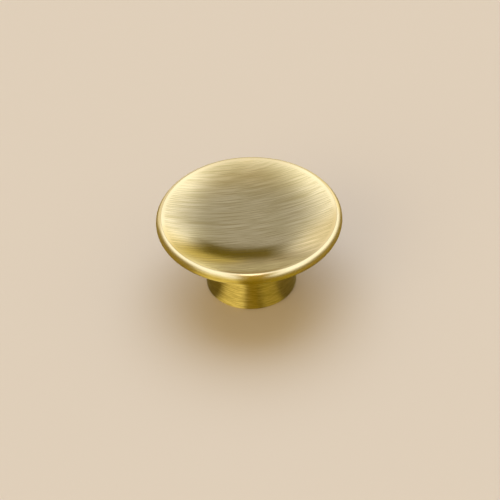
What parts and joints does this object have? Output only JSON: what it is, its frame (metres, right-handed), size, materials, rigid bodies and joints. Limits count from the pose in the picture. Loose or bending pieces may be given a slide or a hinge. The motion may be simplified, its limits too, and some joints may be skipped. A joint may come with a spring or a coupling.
{
  "type": "cabinet knob",
  "caption": "Round cabinet knob with a shallow dished top and a rolled edge on a short cylindrical neck, held from behind by an M4 screw.",
  "frame": {"origin": "centre of the foot, on the plane that seats on the door or drawer front", "axes": "+Z out of the front along the knob's axis; X and Y are any pair across it, because the knob is round"},
  "size_m": [0.04, 0.04, 0.019],
  "materials": {
    "brass": "brushed satin"
  },
  "bodies": {
    "root": {"knob": "brass"}
  },
  "joints": []
}
